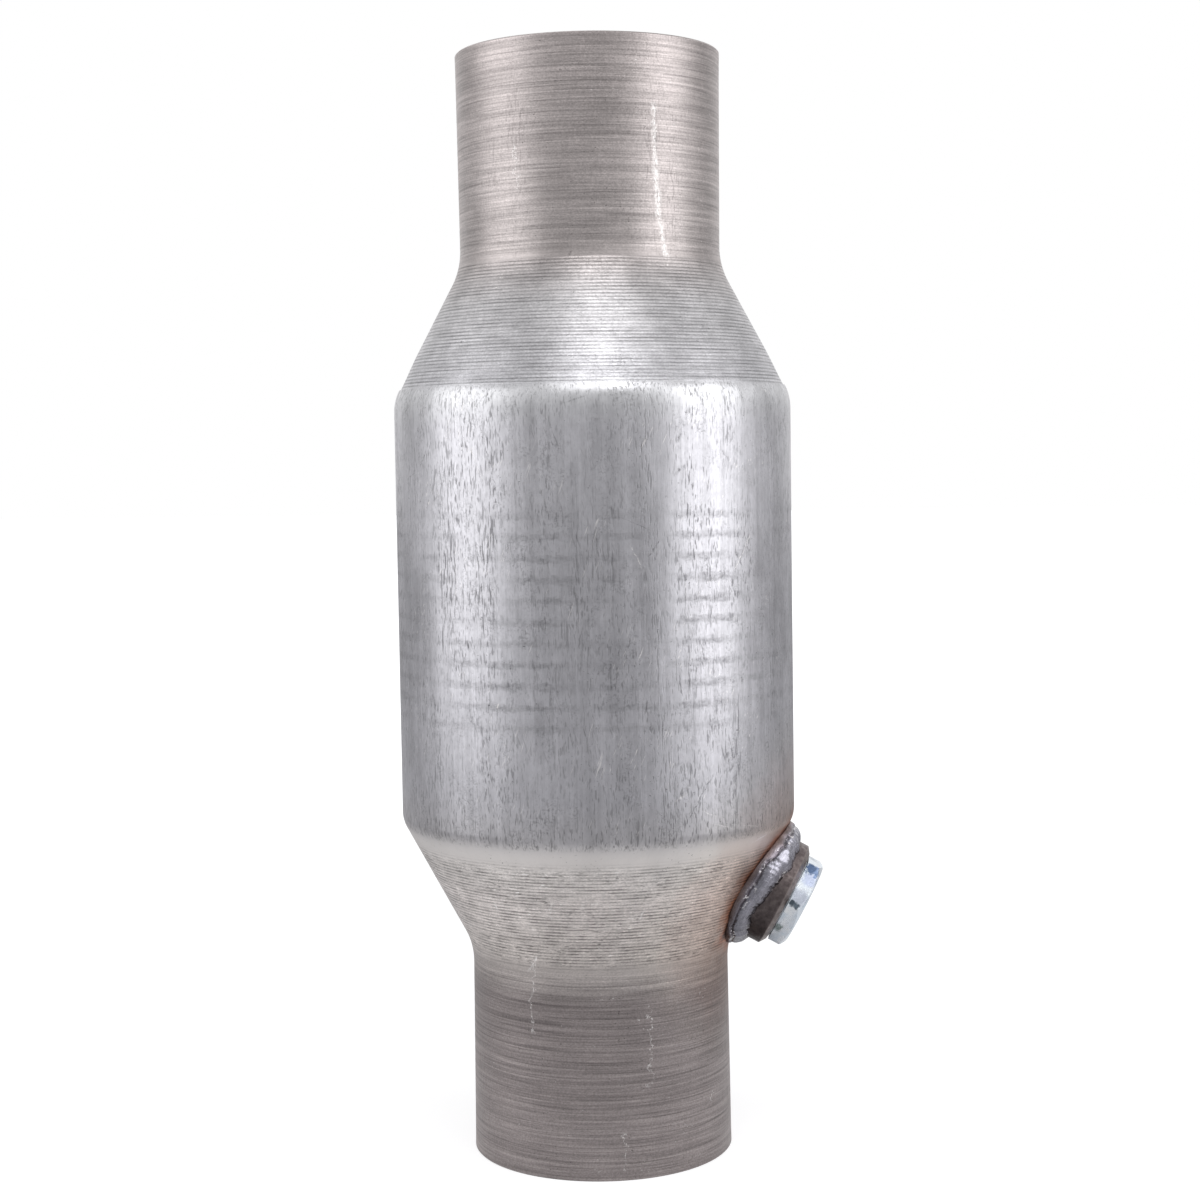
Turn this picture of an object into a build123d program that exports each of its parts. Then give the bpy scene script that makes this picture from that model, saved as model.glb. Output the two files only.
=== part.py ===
from build123d import *
from math import cos, hypot, pi, radians, sin, sqrt, tan
import os

# A universal catalytic converter: one spun tube round a ceramic brick, with an oxygen sensor port.
# Millimetres. Z is the axis of the body, the origin is the centre of the lower neck's rim, and the
# sensor port points to +X, down from the lower cone.

# Shell. Lengths run between the sharp corners of the outline, before its bends are rounded.
body_diameter = 101.6
body_length = 107.3
shell_wall = 1.3
cone_angle = 28.0  # degrees, between the cone and the axis
neck_length = 53.5
neck_bore = 63.8  # a 63.5 mm pipe slips in
neck_root_wall = 1.2
neck_mouth_wall = 1.65  # the metal gathers towards the rim as the neck is spun
neck_bend_radius = 19.0
lower_shoulder_radius = 7.5
upper_shoulder_radius = 12.5
rim_chamfer = 0.3

# Catalyst brick, the mat round it and the seal rings at the mat's two edges.
brick_setback = 8.5  # from each end of the body's straight part to the brick's face
brick_skin = 0.9
cell_pitch = 4.6  # drawn coarse: the real cells are about 1.3 mm apart
cell_wall = 0.7
mat_thickness = 2.8
mat_clearance = 0.1
mat_seam_gap = 0.6
mat_tongue_width = 30.0
mat_tongue_length = 20.0
seal_height = 6.0
seal_inset = 2.0  # from the brick's face to the ring

# Sensor port.
port_below_mid_cone = 1.0  # along the cone, towards the neck
bung_diameter = 27.9
bung_height = 8.35
bung_chamfer_rise = 1.15
bung_chamfer_inset = 1.65
pilot_diameter = 21.9
pilot_clearance = 0.15
pilot_projection = 1.5
thread_diameter = 18.0
thread_clearance = 0.05
thread_mouth_chamfer = 0.8

# Weld bead round the bung, laid as a ring of puddles.
weld_leg_out = 3.65  # from the bung's side out along the cone
weld_leg_up = 5.2  # from the cone up the bung's side
weld_puddle_radius = 6.5
weld_puddle_length = 6.0
weld_puddle_pitch = 4.0  # along the bung's side, so that each puddle laps over the last

# Plug.
hex_across_flats = 22.2  # for a 7/8 inch spanner
hex_height = 4.3
hex_chamfer_angle = 30.0
hex_face_diameter = 21.0
hex_turn = -17.0
washer_face_diameter = 20.0
washer_face_height = 0.4
shank_length = 11.5
shank_lead_chamfer = 1.2
relief_width = 1.6
relief_depth = 0.9

os.makedirs("parts", exist_ok=True)


def save(piece, name):
    piece.part.label = name
    export_step(piece.part, f"parts/{name}.step")


# Stations along the axis and radii of the shell.
slope = radians(cone_angle)
body_radius = body_diameter / 2
body_bore_radius = body_radius - shell_wall
neck_bore_radius = neck_bore / 2
neck_root_radius = neck_bore_radius + neck_root_wall
neck_mouth_radius = neck_bore_radius + neck_mouth_wall
cone_height = (body_radius - neck_root_radius) / tan(slope)
body_start = neck_length + cone_height
body_end = body_start + body_length
overall_length = body_end + cone_height + neck_length

# The inside of each cone lies one wall behind its outside, so its two corners shift along the axis.
wall_on_cone = shell_wall / cos(slope)
inner_neck_length = neck_length + (wall_on_cone - neck_root_wall) / tan(slope)
inner_body_start = body_start + (wall_on_cone - shell_wall) / tan(slope)


def mirrored_profile(neck_end_radius, neck_radius, neck_corner, radius, body_corner):
    lower_half = [(neck_end_radius, 0), (neck_radius, neck_corner), (radius, body_corner)]
    upper_half = [(x, overall_length - z) for x, z in reversed(lower_half)]
    return lower_half + upper_half


outer_points = mirrored_profile(
    neck_mouth_radius, neck_root_radius, neck_length, body_radius, body_start
)
inner_points = mirrored_profile(
    neck_bore_radius, neck_bore_radius, inner_neck_length, body_bore_radius, inner_body_start
)
outer_bends = [neck_bend_radius, lower_shoulder_radius, upper_shoulder_radius, neck_bend_radius]
inner_bends = [
    neck_bend_radius + shell_wall,
    lower_shoulder_radius - shell_wall,
    upper_shoulder_radius - shell_wall,
    neck_bend_radius + shell_wall,
]

# The port's plane touches the cone, with x up the cone and z along the port, away from the shell.
port_along_cone = hypot(cone_height, body_radius - neck_root_radius) / 2 - port_below_mid_cone
port_radius = neck_root_radius + port_along_cone * sin(slope)
port_height = neck_length + port_along_cone * cos(slope)
port_plane = Plane(
    origin=(port_radius, 0, port_height),
    x_dir=(sin(slope), 0, cos(slope)),
    z_dir=(cos(slope), 0, -sin(slope)),
)
port_axis = Axis(port_plane.origin, port_plane.z_dir)
port_section = Plane(origin=port_plane.origin, x_dir=port_plane.x_dir, z_dir=-port_plane.y_dir)
bung_radius = bung_diameter / 2
pilot_radius = pilot_diameter / 2
thread_radius = thread_diameter / 2


def cone_drop(along, across):
    """How far the cone's face lies off the port's plane, at a point of that plane."""
    reach = port_radius + along * sin(slope)
    root = sqrt(reach**2 - across**2 * cos(2 * slope))
    return cos(slope) * (root - reach) / cos(2 * slope)


# Solid with the shell's outside, which shapes the foot of the bung and of its weld.
with BuildPart() as shell_envelope:
    with BuildSketch(Plane.XZ):
        with BuildLine():
            outside = FilletPolyline(*outer_points, radius=outer_bends)
            Polyline(outside @ 0, (0, 0), (0, overall_length), outside @ 1)
        make_face()
    revolve(axis=Axis.Z)

# Spun shell, with the port's hole and both rims deburred outside.
with BuildPart() as spun_shell:
    with BuildSketch(Plane.XZ):
        with BuildLine():
            outside = FilletPolyline(*outer_points, radius=outer_bends)
            inside = FilletPolyline(*inner_points, radius=inner_bends)
            Line(outside @ 0, inside @ 0)
            Line(outside @ 1, inside @ 1)
        make_face()
    revolve(axis=Axis.Z)
    for rim in spun_shell.faces().filter_by(GeomType.PLANE):
        chamfer(rim.edges().sort_by(SortBy.RADIUS)[-1], rim_chamfer)
    with BuildSketch(port_plane):
        Circle(pilot_radius + pilot_clearance)
    extrude(amount=pilot_radius, both=True, mode=Mode.SUBTRACT)
save(spun_shell, "spun_shell")

# Catalyst brick: square cells inside a solid skin, with only the larger cut cells left open.
brick_start = body_start + brick_setback
brick_length = body_length - 2 * brick_setback
brick_radius = body_bore_radius - mat_thickness - 2 * mat_clearance
cell_size = cell_pitch - cell_wall
cells_across = 2 * int(brick_radius / cell_pitch) + 1

with BuildSketch() as open_cells:
    with GridLocations(cell_pitch, cell_pitch, cells_across, cells_across):
        Rectangle(cell_size, cell_size)
    Circle(brick_radius - brick_skin, mode=Mode.INTERSECT)
least_open_area = cell_size**2 / 3
kept_cells = open_cells.faces().filter_by(lambda cell: cell.area > least_open_area)

with BuildPart() as catalyst_brick:
    with BuildSketch(Plane.XY.offset(brick_start)):
        Circle(brick_radius)
        add(kept_cells, mode=Mode.SUBTRACT)
    extrude(amount=brick_length, clean=False)
save(catalyst_brick, "catalyst_brick")

# Seal rings, of knitted wire pressed to a square section.
ring_inner_radius = brick_radius + mat_clearance
ring_outer_radius = body_bore_radius - mat_clearance


def seal_ring(start):
    with BuildPart() as ring:
        with BuildSketch(Plane.XY.offset(start)):
            Circle(ring_outer_radius)
            Circle(ring_inner_radius, mode=Mode.SUBTRACT)
        extrude(amount=seal_height)
    return ring


lower_seal_start = brick_start + seal_inset
upper_seal_start = brick_start + brick_length - seal_inset - seal_height
save(seal_ring(lower_seal_start), "lower_seal_ring")
save(seal_ring(upper_seal_start), "upper_seal_ring")

# Support mat, wrapped once round the brick, with a tongue and groove where its two ends meet.
mat_start = lower_seal_start + seal_height + mat_clearance
mat_end = upper_seal_start - mat_clearance
mat_middle = (mat_start + mat_end) / 2
tongue_turn = mat_tongue_length / brick_radius * 180 / pi


def seam_plane(turn):
    """A plane through the axis near the back of the mat, with x outwards and y up."""
    angle = radians(180 + turn)
    return Plane(origin=(0, 0, 0), x_dir=(cos(angle), sin(angle), 0), z_dir=(sin(angle), -cos(angle), 0))


tongue_low = mat_middle - mat_tongue_width / 2
tongue_high = mat_middle + mat_tongue_width / 2
upright_seams = [
    (0, mat_start, tongue_low + mat_seam_gap),
    (tongue_turn, tongue_low, tongue_high + mat_seam_gap),
    (0, tongue_high, mat_end),
]

with BuildPart() as support_mat:
    with BuildSketch(Plane.XY.offset(mat_start)):
        Circle(ring_outer_radius)
        Circle(ring_inner_radius, mode=Mode.SUBTRACT)
    extrude(amount=mat_end - mat_start)
    for turn, low, high in upright_seams:
        with BuildSketch(seam_plane(turn)):
            with Locations((brick_radius - mat_thickness, low)):
                Rectangle(3 * mat_thickness, high - low, align=Align.MIN)
        extrude(amount=mat_seam_gap / 2, both=True, mode=Mode.SUBTRACT)
    for low in (tongue_low, tongue_high):
        with BuildSketch(seam_plane(0)):
            with Locations((brick_radius - mat_thickness, low)):
                Rectangle(3 * mat_thickness, mat_seam_gap, align=Align.MIN)
        revolve(axis=Axis.Z, revolution_arc=tongue_turn, mode=Mode.SUBTRACT)
save(support_mat, "support_mat")

# Sensor bung: a turned boss with a pilot in the shell's hole and a foot that follows the cone.
with BuildPart() as sensor_bung:
    with BuildSketch(port_plane.offset(bung_height)) as bung_face:
        Circle(bung_radius)
    extrude(amount=-bung_height - bung_radius)
    face = sensor_bung.faces().sort_by(port_axis)[-1]
    chamfer(face.edges(), bung_chamfer_inset, bung_chamfer_rise, reference=face)
    add(shell_envelope.part, mode=Mode.SUBTRACT)
    with BuildSketch(port_plane.offset(bung_height / 2)):
        Circle(pilot_radius)
    extrude(amount=-bung_height / 2 - shell_wall - pilot_projection)
    with BuildSketch(port_plane.offset(bung_height)):
        Circle(thread_radius + thread_clearance)
    extrude(amount=-bung_height - bung_radius, mode=Mode.SUBTRACT)
    face = sensor_bung.faces().sort_by(port_axis)[-1]
    chamfer(face.edges().sort_by(SortBy.RADIUS)[0], thread_mouth_chamfer)
save(sensor_bung, "sensor_bung")

# Weld bead: overlapping puddles along the line where the bung's side meets the cone. Each is a
# short round slug laid along the bead and sunk behind the corner, so that its side leaves the cone
# and the bung at the bead's two legs.
weld_face = hypot(weld_leg_out, weld_leg_up)
puddle_depth = sqrt(weld_puddle_radius**2 - weld_face**2 / 4)
puddle_path = bung_radius + weld_leg_out / 2 - puddle_depth * weld_leg_up / weld_face
puddle_lift = weld_leg_up / 2 - puddle_depth * weld_leg_out / weld_face
puddle_count = round(2 * pi * bung_radius / weld_puddle_pitch)


def puddle_centre(index):
    turn = 2 * pi * index / puddle_count
    foot = cone_drop(bung_radius * cos(turn), bung_radius * sin(turn))
    local_point = (puddle_path * cos(turn), puddle_path * sin(turn), foot + puddle_lift)
    return port_plane.from_local_coords(local_point)


puddle_planes = []
for index in range(puddle_count):
    along_bead = puddle_centre(index + 1) - puddle_centre(index - 1)
    puddle_planes.append(
        Plane(origin=puddle_centre(index), x_dir=port_plane.z_dir, z_dir=along_bead)
    )

with BuildPart() as bung_weld:
    with Locations(*puddle_planes):
        Cylinder(weld_puddle_radius, weld_puddle_length)
    add(shell_envelope.part, mode=Mode.SUBTRACT)
    with BuildSketch(port_plane):
        Circle(bung_radius)
    extrude(amount=bung_radius, both=True, mode=Mode.SUBTRACT)
save(bung_weld, "bung_weld")

# Port plug: a hexagon with its corners turned off, a washer face, a relieved shank and its tip.
plug_plane = port_plane.offset(bung_height)
hex_plane = plug_plane.offset(washer_face_height)
hex_corner_radius = hex_across_flats / sqrt(3)
hex_face_radius = hex_face_diameter / 2
head_top = bung_height + washer_face_height + hex_height
corner_drop = (hex_corner_radius - hex_face_radius) * tan(radians(hex_chamfer_angle))
shank_end = bung_height - shank_length

with BuildPart() as port_plug:
    with BuildSketch(hex_plane):
        RegularPolygon(hex_across_flats / 2, 6, major_radius=False, rotation=hex_turn)
    extrude(amount=hex_height)
    with BuildSketch(port_section):
        with BuildLine():
            Polyline(
                (0, bung_height),
                (hex_corner_radius, bung_height),
                (hex_corner_radius, head_top - corner_drop),
                (hex_face_radius, head_top),
                (0, head_top),
                close=True,
            )
        make_face()
    revolve(axis=port_axis, mode=Mode.INTERSECT)
    with BuildSketch(port_section):
        with BuildLine():
            Polyline(
                (0, bung_height + washer_face_height),
                (washer_face_diameter / 2, bung_height + washer_face_height),
                (washer_face_diameter / 2, bung_height),
                (thread_radius - relief_depth, bung_height),
                (thread_radius - relief_depth, bung_height - relief_width),
                (thread_radius, bung_height - relief_width - relief_depth),
                (thread_radius, shank_end + shank_lead_chamfer),
                (thread_radius - shank_lead_chamfer, shank_end),
                (0, shank_end),
                close=True,
            )
        make_face()
    revolve(axis=port_axis)
save(port_plug, "port_plug")

print("overall length", round(overall_length, 2), "port", round(port_radius, 2), round(port_height, 2))
print("cells", len(kept_cells), "brick", round(brick_radius, 2), round(brick_length, 2))
print("puddles", puddle_count)
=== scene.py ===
from math import asin, atan2, ceil, cos, degrees, exp, hypot, pi, radians, sin, sqrt, tan

import bmesh
import bpy
from mathutils import Matrix, Vector, noise


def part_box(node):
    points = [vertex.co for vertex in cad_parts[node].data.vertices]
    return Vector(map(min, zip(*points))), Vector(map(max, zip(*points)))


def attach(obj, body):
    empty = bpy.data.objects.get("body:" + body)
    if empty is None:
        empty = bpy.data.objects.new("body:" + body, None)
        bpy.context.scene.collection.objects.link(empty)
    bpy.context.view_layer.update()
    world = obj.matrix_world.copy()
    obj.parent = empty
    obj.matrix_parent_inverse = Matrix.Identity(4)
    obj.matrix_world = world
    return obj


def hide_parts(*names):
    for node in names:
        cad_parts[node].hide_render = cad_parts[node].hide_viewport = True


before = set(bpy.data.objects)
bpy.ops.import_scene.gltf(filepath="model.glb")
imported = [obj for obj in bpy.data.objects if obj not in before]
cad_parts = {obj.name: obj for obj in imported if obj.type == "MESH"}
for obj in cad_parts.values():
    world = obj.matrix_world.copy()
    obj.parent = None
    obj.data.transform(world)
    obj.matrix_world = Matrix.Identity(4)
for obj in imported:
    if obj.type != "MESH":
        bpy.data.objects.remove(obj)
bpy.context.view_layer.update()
mm = 0.001


# small helpers

def hexToLinear(code):
    # sRGB hex to the linear colour that the shaders want
    channels = [int(code[i:i + 2], 16) / 255 for i in (1, 3, 5)]
    linear = [c / 12.92 if c <= 0.04045 else ((c + 0.055) / 1.055) ** 2.4 for c in channels]
    return (*linear, 1.0)


def addNode(tree, kind, settings=None, links=None):
    # settings give properties and inputs their values, links give inputs their sources. An input goes by
    # name, or by number where names repeat, and only the sockets that the node's mode uses count.
    node = tree.nodes.new("ShaderNode" + kind)

    def findInput(key):
        return next(s for i, s in enumerate(node.inputs) if s.enabled and key in (s.name, i))

    for key, value in (settings or {}).items():
        if key == "stops":
            ramp = node.color_ramp
            while len(ramp.elements) < len(value):
                ramp.elements.new(0.5)
            for element, (place, colour) in zip(ramp.elements, value):
                element.position = place
                element.color = hexToLinear(colour) if isinstance(colour, str) else (colour,) * 3 + (1,)
        elif key == "range":
            for name, number in zip(("From Min", "From Max", "To Min", "To Max"), value):
                findInput(name).default_value = number
        elif isinstance(key, str) and hasattr(node, key):
            setattr(node, key, value)
        else:
            findInput(key).default_value = value
    for key, source in (links or {}).items():
        tree.links.new(source, findInput(key))
    return next((s for s in node.outputs if s.enabled), None)


def newMaterial(name):
    material = bpy.data.materials.new(name)
    material.use_nodes = True
    tree = material.node_tree
    tree.nodes.clear()
    return material, tree


def closeMaterial(material, tree, relief, strength, depth, settings, links):
    # relief stands up to depth in mm, then the surface itself
    bump = addNode(tree, "Bump", {"Strength": strength, "Distance": depth * mm}, {"Height": relief})
    shader = addNode(tree, "BsdfPrincipled", settings, {**links, "Normal": bump})
    addNode(tree, "OutputMaterial", {}, {"Surface": shader})
    return material


def millimetres(tree, scale=(1, 1, 1), turn=(0, 0, 0), shift=(0, 0, 0)):
    # object coordinates in millimetres, squeezed by scale after a turn
    coords = tree.nodes.new("ShaderNodeTexCoord").outputs["Object"]
    turned = addNode(tree, "Mapping", {"Rotation": [radians(a) for a in turn], "Scale": (1000,) * 3,
                                       "Location": shift}, {"Vector": coords})
    return addNode(tree, "Mapping", {"Scale": scale}, {"Vector": turned})


def product(tree, *factors):
    total = factors[0]
    for factor in factors[1:]:
        total = addNode(tree, "Math", {"operation": "MULTIPLY"}, {0: total, 1: factor})
    return total


def largest(tree, *masks):
    total = masks[0]
    for mask in masks[1:]:
        total = addNode(tree, "Math", {"operation": "MAXIMUM"}, {0: total, 1: mask})
    return total


def shadeBy(tree, mask, value):
    # a factor that is 1 where the mask is 0, and value where it is 1
    return addNode(tree, "Math", {"operation": "MULTIPLY_ADD", 1: value - 1, 2: 1.0}, {0: mask})


def between(tree, value, low, high, soft):
    # 1 from low to high, fading over soft on both sides of each
    ends = ((low - soft, low + soft), (high + soft, high - soft))
    return product(tree, *[addNode(tree, "MapRange", {"interpolation_type": "SMOOTHSTEP", "range": end},
                                   {"Value": value}) for end in ends])


def grain(tree, size, limits, result=(0, 1), detail=3.0, turn=(0, 0, 0), shift=(0, 0, 0)):
    # noise with spots of size mm; what lies between the limits is spread over result
    field = addNode(tree, "TexNoise", {"Scale": 1.0, "Detail": detail, "Roughness": 0.6},
                    {"Vector": millimetres(tree, [1 / s for s in size], turn, shift)})
    return addNode(tree, "MapRange", {"range": (*limits, *result)}, {"Value": field})


def addObject(name, data):
    item = bpy.data.objects.new(name, data)
    bpy.context.scene.collection.objects.link(item)
    return item


def meshFrom(bm, name):
    mesh = bpy.data.meshes.new(name)
    bm.to_mesh(mesh)
    bm.free()
    return mesh


def vertsOf(geometry):
    return [g for g in geometry if isinstance(g, bmesh.types.BMVert)]


def drawUp(bm, height):
    # every face drawn straight up into a prism
    grown = bmesh.ops.extrude_face_region(bm, geom=bm.faces[:])["geom"]
    bmesh.ops.translate(bm, vec=(0, 0, height), verts=vertsOf(grown))


def finishPiece(mesh, name, materials, node, sharpAngle=35):
    # edges sharper than sharpAngle, in degrees, stay crisp and everything else shades smooth
    bm = bmesh.new()
    bm.from_mesh(mesh)
    for face in bm.faces:
        face.smooth = True
    for edge in bm.edges:
        edge.smooth = not edge.is_manifold or edge.calc_face_angle() < radians(sharpAngle)
    bm.to_mesh(mesh)
    bm.free()
    piece = addObject(name, mesh)
    for material in materials:
        mesh.materials.append(material)
    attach(piece, "root")
    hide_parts(node)


def cutWith(mesh, cutter, operation="DIFFERENCE"):
    # exact boolean of two meshes, given back as a new mesh
    body = addObject("cutBody", mesh)
    tool = addObject("cutTool", cutter)
    modifier = body.modifiers.new("cut", "BOOLEAN")
    modifier.object = tool
    modifier.operation = operation
    modifier.solver = "EXACT"
    bpy.context.view_layer.update()
    result = bpy.data.meshes.new_from_object(body.evaluated_get(bpy.context.evaluated_depsgraph_get()))
    for item in (body, tool):
        bpy.data.objects.remove(item)
    return result


# camera, a little above the middle, the object standing upright in front of it
camera = {
    "azimuth": 8.0,        # degrees round the object from straight in front
    "distance": 558.1,     # mm from the axis
    "height": 179.9,
    "heading": 7.875,
    "pitch": 3.868,        # degrees down
    "roll": -0.893,
    "lens": 64.87,
    "sensor": 36.0,
}


def makeCamera():
    data = bpy.data.cameras.new("camera")
    data.lens = camera["lens"]
    data.sensor_width = camera["sensor"]
    item = addObject("camera", data)
    side = radians(camera["azimuth"])
    place = Vector((camera["distance"] * sin(side), -camera["distance"] * cos(side), camera["height"]))
    item.matrix_world = (Matrix.Translation(place * mm)
                         @ Matrix.Rotation(radians(camera["heading"]), 4, "Z")
                         @ Matrix.Rotation(radians(90 - camera["pitch"]), 4, "X")
                         @ Matrix.Rotation(radians(camera["roll"]), 4, "Z"))
    bpy.context.scene.camera = item


makeCamera()
bpy.context.scene.view_settings.view_transform = "Standard"
print("camera ready")


# studio: white sweep, one tall softbox on each side, one over the camera
studio = {
    "aim": 0.15,                   # m, the height that the softboxes point at
    "floorSize": 12.0,             # m
    "floorShade": "#B4B4B6",
    "floorGlow": (0.68, 1.0),      # plain white added near the object and far off
    "floorBlend": (0.2, 0.9),      # m, between those two
    "floorMirrored": (0.38, 0.1),  # what the metal sees of it, near and far off
    "mirroredBlend": (0.06, 0.26),
    "mirroredFront": 0.66,         # share of it that is left in front, where the camera's side is dark
    "frontBlend": (0.35, 0.95),    # cosine of the angle from the camera's side
    "roomFront": 0.6,              # brightness that the metal sees round the camera
    "roomSide": 0.5,
    "roomAbove": 0.42,             # added high up on the sides
    "roomDiffuse": 0.62,
    "backdrop": (0.55, 0.86),      # cosine of the angle from straight behind, soft edge of the white
    "sideBlend": (-0.9, 0.2),      # the same cosine, from the front's brightness to the sides'
    "besideBlend": (-0.5, 0.0),    # the same cosine, where the added light sets in
    "aboveBlend": (0.15, 0.6),     # sine of the height above the horizon, for the added light
}
# azimuth from the camera, height, distance, width, tall, watts
softboxes = {
    "leftSoftbox": (-76, 0.36, 0.85, 0.78, 0.86, 2.75),
    "rightSoftbox": (68, 0.36, 0.85, 0.68, 0.86, 3.2),
    "topSoftbox": (8, 0.95, 0.62, 0.6, 0.42, 2.1),
}


def aroundObject(azimuth):
    # unit vector from the axis, turned from the camera's side towards the right of the picture
    turn = radians(azimuth + camera["azimuth"])
    return Vector((sin(turn), -cos(turn), 0))


def makeSoftboxes():
    middle = Vector((0, 0, studio["aim"]))
    for name, (azimuth, height, distance, width, tall, watts) in softboxes.items():
        data = bpy.data.lights.new(name, "AREA")
        data.shape = "RECTANGLE"
        data.size = width
        data.size_y = tall
        data.energy = watts
        item = addObject(name, data)
        item.location = aroundObject(azimuth) * distance + Vector((0, 0, height))
        item.rotation_euler = (item.location - middle).to_track_quat("Z", "Y").to_euler()


def makeFloor():
    bm = bmesh.new()
    bmesh.ops.create_grid(bm, x_segments=2, y_segments=2, size=studio["floorSize"] / 2)
    floor = addObject("floor", meshFrom(bm, "floor"))
    material, tree = newMaterial("matteWhiteSweep")  # painted board, keeps a soft shadow
    coords = tree.nodes.new("ShaderNodeTexCoord").outputs["Object"]
    reach = addNode(tree, "VectorMath", {"operation": "LENGTH"}, {0: coords})
    heading = addNode(tree, "VectorMath", {"operation": "NORMALIZE"}, {0: coords})
    heading = addNode(tree, "VectorMath", {"operation": "DOT_PRODUCT", 1: aroundObject(0)}, {0: heading})
    front = addNode(tree, "MapRange", {"interpolation_type": "SMOOTHSTEP",
                                       "range": (*studio["frontBlend"], 1.0, studio["mirroredFront"])},
                    {"Value": heading})
    light = tree.nodes.new("ShaderNodeLightPath").outputs
    seen = []
    for blend, glow, ray in (("floorBlend", "floorGlow", "Is Camera Ray"),
                             ("floorBlend", "floorGlow", "Is Transmission Ray"),
                             ("mirroredBlend", "floorMirrored", "Is Glossy Ray")):
        level = addNode(tree, "MapRange", {"interpolation_type": "SMOOTHSTEP",
                                           "range": (*studio[blend], *studio[glow])}, {"Value": reach})
        seen.append(product(tree, level, light[ray]))
    glow = largest(tree, seen[0], seen[1], product(tree, seen[2], front))
    paint = addNode(tree, "BsdfDiffuse", {"Color": hexToLinear(studio["floorShade"])})
    white = addNode(tree, "Emission", {"Color": (1, 1, 1, 1)}, {"Strength": glow})
    both = addNode(tree, "AddShader", {}, {0: paint, 1: white})
    addNode(tree, "OutputMaterial", {}, {"Surface": both})
    floor.data.materials.append(material)


def makeRoom():
    world = bpy.data.worlds.new("studioRoom")
    world.use_nodes = True
    bpy.context.scene.world = world
    tree = world.node_tree
    tree.nodes.clear()
    coords = tree.nodes.new("ShaderNodeTexCoord").outputs["Generated"]
    light = tree.nodes.new("ShaderNodeLightPath").outputs
    behind = addNode(tree, "VectorMath", {"operation": "DOT_PRODUCT", 1: -aroundObject(0)}, {0: coords})
    height = addNode(tree, "SeparateXYZ", {}, {0: coords}).node.outputs["Z"]
    room, sweep, above, beside = (
        addNode(tree, "MapRange", {"interpolation_type": "SMOOTHSTEP", "range": limits}, {"Value": value})
        for value, limits in ((behind, (*studio["sideBlend"], studio["roomFront"], studio["roomSide"])),
                              (behind, studio["backdrop"]),
                              (height, (*studio["aboveBlend"], 0.0, studio["roomAbove"])),
                              (behind, studio["besideBlend"])))
    room = addNode(tree, "Math", {"operation": "MULTIPLY_ADD"}, {0: above, 1: beside, 2: room})
    glossy = addNode(tree, "Mix", {"data_type": "FLOAT", "B": 1.0}, {"Factor": sweep, "A": room})
    plain = addNode(tree, "Mix", {"data_type": "FLOAT", "A": studio["roomDiffuse"]},
                    {"Factor": light["Is Glossy Ray"], "B": glossy})
    level = addNode(tree, "Mix", {"data_type": "FLOAT", "B": 1.0},
                    {"Factor": light["Is Camera Ray"], "A": plain})
    level = largest(tree, level, light["Is Transmission Ray"])
    shade = addNode(tree, "Background", {"Color": (1, 1, 1, 1)}, {"Strength": level})
    addNode(tree, "OutputWorld", {}, {"Surface": shade})


makeSoftboxes()
makeFloor()
makeRoom()
print("studio ready")


# spun shell: one stainless tube, necked down at both ends. Lengths are in mm.
shell = {
    "wall": 1.3,
    "coneAngle": 28.0,
    "neckLength": 53.5,
    "neckBore": 63.8,
    "neckRootWall": 1.2,
    "neckMouthWall": 1.65,
    "neckBend": 19.0,
    "lowerShoulder": 7.5,
    "upperShoulder": 12.5,
    "rimChamfer": 0.3,
    "segments": 128,
    "neckRow": 0.48,         # spacing of the mesh's rows
    "coneRow": 0.24,
    "bodyRow": 2.4,
    "insideRow": 6.0,
    "ridgePitch": 0.96,      # the roller's feed per turn
    "ridgeDepth": 0.05,
    "neckLineDepth": 0.03,
    "creaseStep": 0.32,      # the upper cone sits this much below the body's shoulder
    "creaseReach": 9.0,
    "waveDepth": 0.05,       # slow unevenness of the whole wall
    # how fast the unevenness comes and goes, per mm across and along the tube
    "patchScale": (0.03, 0.35),
    "lineScale": (0.008, 0.85),
    "waveScale": 0.028,
}
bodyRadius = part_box("spun_shell")[1].y / mm
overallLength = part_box("spun_shell")[1].z / mm
slope = radians(shell["coneAngle"])
neckRoot = shell["neckBore"] / 2 + shell["neckRootWall"]
neckMouth = shell["neckBore"] / 2 + shell["neckMouthWall"]
coneHeight = (bodyRadius - neckRoot) / tan(slope)
bodyStart = shell["neckLength"] + coneHeight
bodyEnd = overallLength - bodyStart
upperConeStart = bodyEnd + shell["upperShoulder"] * tan(slope / 2) * cos(slope)


def drawOutline(bm, corners):
    # corners are x, z, bend radius, and the row spacing of the run that leads to the corner
    pen = bm.verts.new((corners[0][0], 0, corners[0][1]))
    for before, here, after in zip(corners, corners[1:], corners[2:] + corners[:1]):
        corner = Vector((here[0], 0, here[1]))
        back = (Vector((before[0], 0, before[1])) - corner).normalized()
        ahead = (Vector((after[0], 0, after[1])) - corner).normalized()
        turn = pi - back.angle(ahead)
        tangent = here[2] * tan(turn / 2)
        run = corner + back * tangent - pen.co
        steps = max(1, ceil(run.length / here[3]))
        for _ in range(steps):
            grown = bmesh.ops.extrude_vert_indiv(bm, verts=[pen])["verts"][0]
            bmesh.ops.translate(bm, verts=[grown], vec=run / steps)
            pen = grown
        if here[2] > 0:
            centre = corner + (back + ahead).normalized() * (here[2] / cos(turn / 2))
            side = 1 if back.cross(ahead).y < 0 else -1
            steps = max(2, ceil(turn * here[2] / min(here[3], after[3])))
            swept = bmesh.ops.spin(bm, geom=[pen], cent=centre, axis=(0, side, 0), angle=turn, steps=steps)
            pen = vertsOf(swept["geom_last"])[0]
    return pen


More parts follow.
